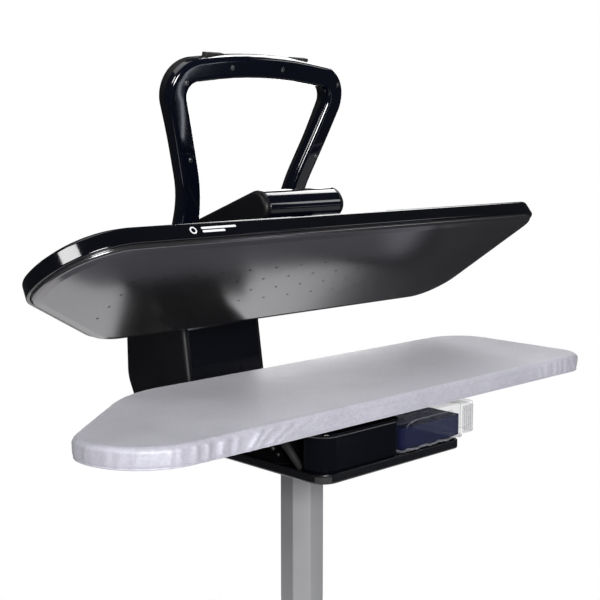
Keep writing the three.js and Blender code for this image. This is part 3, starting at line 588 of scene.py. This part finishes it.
# The finger grip is a ribbed hood open below.
grip_outline = box_outline(148.2, DECK_FRONT + 4, 174, -60, 6)
grip_profile = rounded([
    (-6, tank_high - 3.6), (-3, tank_high - 4.6, 1), (-3, tank_low + 3.2), (0, tank_low + 3.2),
    (0, tank_high - 1, 2.6), (-6, tank_high - 1),
], False, 0.3)
grip_ribs = [prism(box_outline(150 + 4.4 * k, DECK_FRONT + 2.6, 151.6 + 4.4 * k, DECK_FRONT + 6, 0.5),
                   tank_low + 5, tank_high - 5, 0.4) for k in range(5)]
piece("tank_grip", turned(grip_outline, grip_profile), "tank", clear_plastic, DECK)
piece("tank_ribs", merged(*grip_ribs), "tank", ribbed_plastic, DECK)
water_top = -53
water_outline = offset(tank_outline, -2.7)
water_rings = [(offset(water_outline, -1), tank_low + 2.7), (water_outline, tank_low + 4),
               (water_outline, water_top)]
piece("water", loft(water_rings), "tank", water, DECK)
soften("tank_filter", 1.0, dark_foam)
# The seam that closes the tank's floor is a wavy bead.
seam = filled(box_outline(27.4, DECK_FRONT + 2.4, 148.6, -49.4, 7), 4)
bead = [Vector((p.x, p.y, tank_low + 2.4 + 0.9 * math.sin(0.21 * (p.x - p.y))
                + 0.5 * math.sin(0.53 * p.x))) for p in seam]
piece("tank_seam", pipe(bead + bead[:1], 1.3, 10, 2), "tank", ribbed_plastic, DECK, (), 60)
# The moulded shoulder inside the front wall.
shoulder = filled(rounded([(40, tank_low + 8), (40, -50, 9), (62, -46, 30), (134, -46, 10),
                           (138, tank_low + 8)], False, 0.2), 4, False)
piece("tank_shoulder", pipe([(p.x, DECK_FRONT + 6.4, p.y) for p in shoulder], 0.6, 10, 2), "tank",
      ribbed_plastic, DECK, (), 60)
soften("tank_cap", 0.7, rubber)


# ---------------------------------------------------------------- head

casing_profile = rounded([
    (-25, 33.4), (-13, 31.2, 4), (-4.3, 24.0, 4), (-1.3, 20.5, 2), (-1.3, 9), (-1.6, 9),
    (-1.6, 6.4, 0.5), (2.6, 6.4, 1.9), (1.1, 25.2, 4), (-2.8, 27.5, 4), (-14, 33, 14), (-25, 36),
], closed=False, turn=0.2)
fine_plan = filled(plan, 12)
piece("casing", turned(fine_plan, casing_profile), "head", gloss_black, HEAD,
      ["head_casing"], 40)

sole_profile = rounded([
    (-20, 0), (-13, 0, 9), (-4.2, 1.7, 2.6), (-2.4, 4.2, 1.6), (-2, 10), (-20, 10),
], closed=False, turn=0.1)
sole_piece = piece("sole", turned(fine_plan, sole_profile), "head", sole_metal, HEAD,
                   ["sole_plate"], 40)
holes = [prism(circle(1.7, 12, (i - 6.5) * 43, y), -1, 6)
         for i in range(14) for y in (74, 102.5, 131, 159.5)]
carve(sole_piece, moved(merged(*holes), HEAD), 40)
soften("heat_shield", 0.4, cast_metal)
soften("steam_chamber", 1.2, cast_metal)
soften("thermostat", 0.8, brass)

# A plain mark of a ring and two bars, painted on the front of the rim.
ring = [circle(4.6, 40, -30, 0), circle(3.0, 40, -30, 0)]
mark = merged(
    loft([(ring[1], 0.02), (ring[0], 0.02), (ring[0], 0.16), (ring[1], 0.16), (ring[1], 0.02)], False),
    prism(box_outline(-18, 0.8, 32, 3.6, 1.3), 0.02, 0.16),
    prism(box_outline(-18, -3.6, 14, -0.8, 1.3), 0.02, 0.16),
)
lean_back = math.atan2(1.5, 17.2)
on_rim = HEAD @ Matrix.Translation((-211, -6.72, 16.2)) @ Matrix.Rotation(-lean_back, 4, "X")
piece("rim_mark", mark, "head", white_paint, on_rim @ ALONG_FRONT)


# ---------------------------------------------------------------- arm

SHELL = 2.6
FOOT, UNDER, NOSE_LOW, NOSE_HIGH = (99, SEAT, 16), (88, 57, 10), (41, 60, 17), (41, 95, 20)
NOSE_JOINT, NECK, HEEL = (78, 104.1), (277, 20, 30), (330.5, -93.4, 30)
REAR = [(435, -22, 22), (430, 24, 50), (336, 167, 70)]
arm_profile = rounded([NOSE_LOW, UNDER, FOOT, (259, SEAT, 12), NECK, HEEL, *REAR, NOSE_HIGH])
nose_path = rounded([NOSE_JOINT, NOSE_HIGH, NOSE_LOW, UNDER, (96.5, SEAT + 4)], False)
top_path = rounded([(384, -57), *REAR, (79.2, 104.4)], False)
neck_path = rounded([(264, SEAT - 1), NECK, (318, -67.5)], False)
near, far = ARM_HALF - ARM_SIDE, ARM_HALF
for side, sign in (("left", -1), ("right", 1)):
    dish_profile = rounded([
        (-14, far - SHELL), (-SHELL, far - SHELL, 3), (-SHELL, near), (0, near),
        (0, far, 6), (-14, far),
    ], closed=False, turn=0.16)
    dish = turned(arm_profile, [Vector((p.x if p.x > -7.2 else -7.2, p.y)) for p in dish_profile])
    facing = HEAD @ Matrix.Diagonal((sign, 1, 1, 1)) @ ALONG_X
    panel = piece(f"side_panel_{side}", dish, "head", matt_black, facing,
                  [f"arm_panel_{side}"], 30)
    carve(panel, moved(prism(circle(9.5, 40, PIVOT.y, PIVOT.z), near - 1, far + 1), facing), 30)

half = ARM_HALF - ARM_SIDE - 0.4
for name, path, finish, node in (("nose_shell", nose_path, gloss_blue, "nose_cover"),
                                 ("top_shell", top_path, gloss_blue, "arm_top_cover"),
                                 ("neck_shell", neck_path, gloss_black, "arm_front_cover")):
    skin = strip(filled(path, 10, False), SHELL, -SHELL / 2)
    piece(name, prism(skin, -half, half, 0.7), "head", finish, HEAD @ ALONG_X, [node],
          30)
soften("arm_frame", 0.8, steel)
soften("control_board", 0.3, circuit)


# ---------------------------------------------------------------- handle

def smooth(x, start, end):
    """0 before start, 1 after end, and an even rise between them."""
    t = max(0, min(1, (x - start) / (end - start)))
    return t * t * (3 - 2 * t)


corner = (GRIP_HALF, GRIP_HIGH - 11.5)
handle_path = filled(rounded([
    (-LEG_HALF, -18), (-LEG_HALF, 98, 170), (-corner[0], corner[1], 31), (-40, GRIP_HIGH + 1, 600),
    (40, GRIP_HIGH + 1, 600), (*corner, 31), (LEG_HALF, 98, 170), (LEG_HALF, -18),
], closed=False), 6, closed=False)
lengths = [0.0]
for a, b in zip(handle_path, handle_path[1:]):
    lengths.append(lengths[-1] + (b - a).length)


def depth_at(s, leg, grip):
    """The depth of a shell at a height, as a share of its depth along the grip."""
    return leg / grip + (1 - leg / grip) * smooth(s, 160, GRIP_HIGH - 6)


def swept(section, leg, grip, ease=2.2):
    """The handle bar's shell: a section of (inset, depth) points, followed by its mirror image."""
    stations = list(zip(handle_path, lengths))
    total = lengths[-1]
    first, last = handle_path[0], handle_path[-1]
    # Extra stations close to the two ends round their edges.
    extra = [ease * (1 - math.cos(math.pi * k / 10)) for k in range(1, 6)]
    stations = ([(first, 0.0)] + [(first + Vector((0, d)), d) for d in extra] + stations[1:-1]
                + [(last + Vector((0, d)), total - d) for d in extra[::-1]] + [(last, total)])
    points = [p for p, d in stations]
    across = [q - p for p, q in zip(points, offset(points, 1, False))]
    verts, n = [], 2 * len(section)
    for (p, d), normal in zip(stations, across):
        half = BAR_HALF + (FOOT_HALF - BAR_HALF) * (1 - smooth(p.y, 10, 110))
        from_end = min(d, total - d)
        short = ease - math.sqrt(max(0, ease ** 2 - max(0, ease - from_end) ** 2))
        factor = depth_at(p.y, leg, grip)
        for side in (1, -1):
            for inset, depth in section[::side]:
                q = p + normal.normalized() * side * (half - inset - min(short, half - inset))
                # Only the outer face rounds at the ends; the joint between the shells stays flat.
                outer = max(abs(depth) * factor - short, min(abs(depth), 0.2))
                verts.append((q.x, -math.copysign(outer, depth), q.y))
    count = len(stations)
    faces = [(i * n + k, i * n + (k + 1) % n, (i + 1) * n + (k + 1) % n, (i + 1) * n + k)
             for i in range(count - 1) for k in range(n)]
    faces += [tuple(range(n))[::-1], tuple(range((count - 1) * n, count * n))]
    return verts, faces


front_section = [(0, 0.2), (0, 6.6), (0.35, 8.4), (1.2, 10.1), (2.5, 11.2), (4.2, 11.8), (7, 12)]
rear_section = [(0, -0.2), (0, -7.6), (0.35, -11), (1.4, -13.4), (3, -15), (5, -15.7), (8, -16)]
front_shell = piece("grip_front", swept(front_section, LEG_FRONT, GRIP_FRONT), "handle",
                    gloss_blue, HANDLE, ["handle_front_shell"], 50)
rear_shell = piece("grip_rear", swept(rear_section, LEG_REAR, GRIP_REAR), "handle",
                   matt_black, HANDLE, ["handle_rear_shell"], 50)

# Six screws sink into the front, each at a distance across and along the handle.
SCREWS = [(-56, 264), (30, 265), (-126, 243), (137, 248), (-105, 146.5), (116, 149)]
bores, heads = [], []
for x, s in SCREWS:
    face = GRIP_FRONT * depth_at(s, LEG_FRONT, GRIP_FRONT)
    bores.append(moved(prism(circle(4.3, 32, x, s), face - 2.6, face + 2), ALONG_FRONT))
    screw = prism(circle(3.7, 32, x, s), face - 3.2, face - 0.9, 0.5)
    slot_cut = prism(circle(1.8, 6, x, s), face - 1.0, face - 0.6, 0.1)
    heads += [moved(screw, ALONG_FRONT), moved(slot_cut, ALONG_FRONT)]
carve(front_shell, moved(merged(*bores), HANDLE), 40)
piece("grip_screws", merged(*heads), "handle", dark_steel, HANDLE)
# The steam buttons sit in pockets cut into the top of the rear shell.
pockets = []
for sign in (-1, 1):
    x = sign * BUTTON_AT
    low = GRIP_HIGH + BAR_HALF - 10.4
    pockets.append(moved(prism(box_outline(x - 15.5, low, x + 15.5, low + 18), -14.5, -4.5), ALONG_FRONT))
carve(rear_shell, moved(merged(*pockets), HANDLE), 40)
for side in (-1, 1):
    shaft = moved(prism(circle(6.3, 32), 71, 94), Matrix.Diagonal((side, 1, 1, 1)) @ ALONG_X)
    carve(front_shell, moved(shaft, HANDLE), 40)
    carve(rear_shell, moved(shaft, HANDLE), 40)
soften("handle_shaft", 0.8, steel)
for side in ("left", "right"):
    soften(f"pressure_cam_{side}", 1.0, cast_metal)
    soften(f"steam_button_{side}", 1.4, rubber, 4)


# ---------------------------------------------------------------- ironing board

# The top turns down into the skirt this far in from the edge, and the folds stand out past it.
TURN_IN, SKIRT, PROUD = 11, 24, 2.4
# The cover rounds the corners of the board a little more than the wood does.
cover_plan = rounded([(-END, -BULGE, 84), (END, -BULGE, 40), (END, BACK, 66), (-234, BACK, 150),
                      (-END, 103, 48)])
edge_ring = filled(offset(cover_plan, -TURN_IN), 3)
outline_count = len(edge_ring)
outwards = [(q - p).normalized() for p, q in zip(edge_ring, offset(edge_ring, 1))]

# Folds that the elastic draws up in the skirt: distance round the hem in mm from its front left
# corner, lean of the fold over the height of the skirt, half width, and how far it stands out.
around = [0.0]
for a, b in zip(edge_ring, edge_ring[1:]):
    around.append(around[-1] + (b - a).length)
whole_way = around[-1] + (edge_ring[0] - edge_ring[-1]).length
front_left = min(range(outline_count), key=lambda k: (edge_ring[k] - Vector((-316, -12))).length)
along_hem = [(d - around[front_left] + whole_way / 2) % whole_way - whole_way / 2 for d in around]


def fold_set(first, count, step, lean, height):
    """A row of uneven folds that start at a distance round the hem, the tallest in the middle."""
    made = []
    for k in range(count):
        share = k / max(1, count - 1)
        wobble = 1.6 * noise.noise(Vector((first * 0.37 + k * 1.7, 0.3, 1.9)))
        rise = height * (0.35 + 0.65 * math.sin(math.pi * (0.12 + 0.76 * share))) * (1 + 0.5 * wobble)
        made.append((first + step * (k + 0.35 * wobble), lean * smooth(share, 0.35, 1) + 4 * wobble,
                     2.6 + 1.6 * abs(wobble) + 1.8 * smooth(share, 0.5, 1), rise))
    return made


FOLDS = (fold_set(-30, 13, 14, 58, 3.0) + fold_set(-150, 9, 13, 8, 1.2)
         + fold_set(600, 9, 12, -14, 1.5) + fold_set(775, 8, 14, 8, 1.2)
         + fold_set(-700, 9, 13, 10, 1.6) + fold_set(-420, 10, 12, -12, 1.4)
         + fold_set(260, 7, 46, 9, 0.55) + fold_set(-960, 6, 40, 9, 0.5))


def gather(d, t):
    """How far the skirt stands out at a distance round the hem, t being 0 at its top and 1 below."""
    out = 0.0
    for place, lean, width, height in FOLDS:
        away = (d - place + whole_way / 2) % whole_way - whole_way / 2 - lean * (1 - t) ** 1.3
        if abs(away) < 3 * width:
            out += height * math.exp(-(away / width) ** 2)
    return out * smooth(t, -0.15, 0.45) * (1 - 0.45 * smooth(t, 0.75, 1))


def inside(q, outline, margin):
    """Whether a point is inside an outline and clear of its edge."""
    within, nearest = False, 1e9
    for a, b in zip(outline, outline[1:] + outline[:1]):
        if (a.y > q.y) != (b.y > q.y) and q.x < (b.x - a.x) * (q.y - a.y) / (b.y - a.y) + a.x:
            within = not within
        nearest = min(nearest, (a - q).length)
    return within and nearest > margin


def crown(p):
    """The top of the pad: nearly flat, with soft shallow dents in the cloth."""
    dents = noise.noise(Vector((p.x * 0.009, p.y * 0.016, 0.4)))
    small = noise.noise(Vector((p.x * 0.04, p.y * 0.05, 7.7)))
    return 0.35 * dents + 0.16 * small - 0.2


pitch = 7.0
coarse_edge = edge_ring[::2]
grid = [Vector((-END + pitch * (i + 0.5 * (j % 2)), -BULGE + 0.87 * pitch * j))
        for i in range(int(2 * END / pitch) + 1) for j in range(int(250 / (0.87 * pitch)) + 1)]
grid = [q for q in grid if inside(q, coarse_edge, 6)]
top = geometry.delaunay_2d_cdt(edge_ring + grid, [], [list(range(outline_count))], 1, 1e-5)
cover_verts = [Vector((p.x, p.y, crown(p))) for p in top[0]]
cover_faces = [tuple(face) for face in top[2]]

# The skirt hangs from the edge of the top, whose points come first and in order.
skirt = filled(rounded([(-TURN_IN, 0), (-4.4, -0.3, 8), (-0.8, -5.6, 6), (-0.2, -12, 8),
                        (-0.6, -19, 6), (-1.6, 0.6 - SKIRT, 2.5), (-5, -SKIRT, 1)],
                       closed=False, turn=0.3), 2.4, closed=False)
previous = list(range(outline_count))
for spot in skirt[1:]:
    t = -spot.y / SKIRT
    start = len(cover_verts)
    for p, way, d in zip(edge_ring, outwards, along_hem):
        out = spot.x + TURN_IN + gather(d, t) - 1.3 * smooth(t, 0.1, 0.5)
        q = p + way * min(out, TURN_IN + PROUD)
        cover_verts.append(Vector((q.x, q.y, spot.y + crown(p) * (1 - smooth(t, 0, 0.3)))))
    now = list(range(start, start + outline_count))
    for k in range(outline_count):
        m = (k + 1) % outline_count
        cover_faces.append((previous[k], previous[m], now[m], now[k]))
    previous = now

cover = piece("cover", (cover_verts, cover_faces), "press_base", cover_cloth, BOARD,
              ["board_cover"], 180)
cover.modifiers.clear()
thick = cover.modifiers.new("thickness", "SOLIDIFY")
thick.thickness = 0.0012
thick.offset = -1

# The hem is a rolled channel with the elastic in it.
sides = 10
hem_verts, hem_faces = [], []
for k, (p, way, d) in enumerate(zip(edge_ring, outwards, along_hem)):
    normal = way.to_3d()
    centre = Vector((*(p + way * (TURN_IN - 3.4 + 0.5 * gather(d, 1))), 1.3 - SKIRT))
    for i in range(sides):
        a = 2 * math.pi * i / sides
        hem_verts.append(centre + 1.7 * math.cos(a) * normal + Vector((0, 0, 1.3 * math.sin(a))))
    m = (k + 1) % outline_count
    hem_faces += [(k * sides + i, m * sides + i, m * sides + (i + 1) % sides, k * sides + (i + 1) % sides)
                  for i in range(sides)]
hem = piece("cover_hem", (hem_verts, hem_faces), "press_base", cover_cloth, BOARD, (), 60)

# The felt pad is blown up a little inside the cover by a short cloth simulation. Its limits are in
# metres.
VOXEL, PAD_FRAMES, PAD_SWELLS = 0.005, 12, 0.001
pad_profile = rounded([(-20, -13.4), (-6, -13.4, 2), (-6, -5.4, 3), (-12, -4.2, 4), (-30, -4.2)],
                      False, 0.4)
pad = piece("pad", turned(filled(plan, 8), pad_profile), "press_base", pad_felt, BOARD,
            ["board_pad"], 180)
pad.modifiers.clear()
remesh = pad.modifiers.new("remesh", "REMESH")
remesh.mode = "VOXEL"
remesh.voxel_size = VOXEL
bpy.context.view_layer.update()
shaped = bpy.data.meshes.new_from_object(pad.evaluated_get(bpy.context.evaluated_depsgraph_get()))
pad.modifiers.clear()
pad.data = shaped
rest = [v.co.copy() for v in pad.data.vertices]
blown = pad.modifiers.new("cloth", "CLOTH")
blown.settings.use_pressure = True
blown.settings.uniform_pressure_force = 4
blown.settings.effector_weights.gravity = 0
for step in range(1, PAD_FRAMES + 1):
    bpy.context.scene.frame_set(step)
swollen = bpy.data.meshes.new_from_object(pad.evaluated_get(bpy.context.evaluated_depsgraph_get()))
bpy.context.scene.frame_set(1)
pad.modifiers.clear()
for v, was in zip(swollen.vertices, rest):
    move = v.co - was
    v.co = was + move * min(1, PAD_SWELLS / max(move.length, 1e-9))
pad.data = swollen
finer = pad.modifiers.new("finer", "SUBSURF")
finer.levels = finer.render_levels = 1
pad.data.materials.clear()
pad.data.materials.append(pad_felt)
pad.data.shade_smooth()


# ---------------------------------------------------------------- what stays of the frame

for name, node in nodes.items():
    if not node.hide_render:
        kept = next((m.name.split(".")[0] for m in node.data.materials if m), "")
        finish = steel if name == "heating_element" else FINISHES.get(kept, matt_black)
        if not node.data.materials:
            node.data.materials.append(finish)
        for i in range(len(node.data.materials)):
            node.data.materials[i] = finish
        node.data.shade_smooth()
        node.data.set_sharp_from_angle(angle=math.radians(35))


# ---------------------------------------------------------------- studio

FLOOR_RADIUS = 1430
floor_mesh = bpy.data.meshes.new("floor")
floor_ring = circle(FLOOR_RADIUS, 96)
floor_mesh.from_pydata([(p.x * MM, p.y * MM, 0) for p in floor_ring], [], [tuple(range(96))])
floor_mesh.materials.append(surface("floor", (0.86, 0.86, 0.865), 0.75, tone=0.01, vary=0.05,
                                    grain=(60, 0.00005), Emission_Color=(1, 1, 1, 1),
                                    Emission_Strength=0.3))
floor = bpy.data.objects.new("floor", floor_mesh)
bpy.context.scene.collection.objects.link(floor)

world = bpy.data.worlds.new("studio")
world.use_nodes = True
bpy.context.scene.world = world
tree = world.node_tree
backdrop = tree.nodes["Background"]
backdrop.inputs["Color"].default_value = (1, 1, 1, 1)
backdrop.inputs["Strength"].default_value = 1.0
dim = add_node(tree, "Background", {"Color": (0.86, 0.9, 1.0, 1), "Strength": 0.045})
seen = add_node(tree, "LightPath").outputs["Is Camera Ray"]
mix = add_node(tree, "MixShader", {0: seen, 1: dim.outputs[0], 2: backdrop.outputs[0]})
tree.links.new(mix.outputs[0], tree.nodes["World Output"].inputs["Surface"])
bpy.context.scene.view_settings.view_transform = "Standard"


def softbox(name, at, aim, width, height, power, color=(1, 1, 1)):
    """A soft rectangular lamp, in metres and watts, that the camera doesn't see itself."""
    light = bpy.data.lights.new(name, "AREA")
    light.shape = "RECTANGLE"
    light.size, light.size_y = width, height
    light.energy = power
    light.color = color
    lamp = bpy.data.objects.new(name, light)
    lamp.location = at
    lamp.rotation_euler = (Vector(aim) - Vector(at)).to_track_quat("-Z", "Y").to_euler()
    lamp.visible_camera = False
    bpy.context.scene.collection.objects.link(lamp)


softbox("overhead", (-0.4, 1.0, 3.1), (0, 0, 0.9), 1.8, 1.2, 9)
softbox("key", (-1.7, -3.2, 1.95), (0, 0, 0.9), 1.5, 1.2, 250)
softbox("left", (-2.3, 0.0, 2.65), (-0.3, -0.1, 1.0), 0.95, 0.8, 40)
softbox("back", (1.75, 1.75, 1.6), (0, 0, 1.1), 0.5, 2.0, 15)
softbox("side", (1.75, -1.4, 1.9), (0, 0, 1.1), 0.5, 0.45, 3)
softbox("high", (1.8, 0.4, 2.65), (0, 0, 1.1), 1.0, 0.8, 20)
softbox("strip", (1.5, -1.85, 0.6), (0, 0, 1.0), 0.045, 0.7, 0.5, (0.85, 0.9, 1.0))
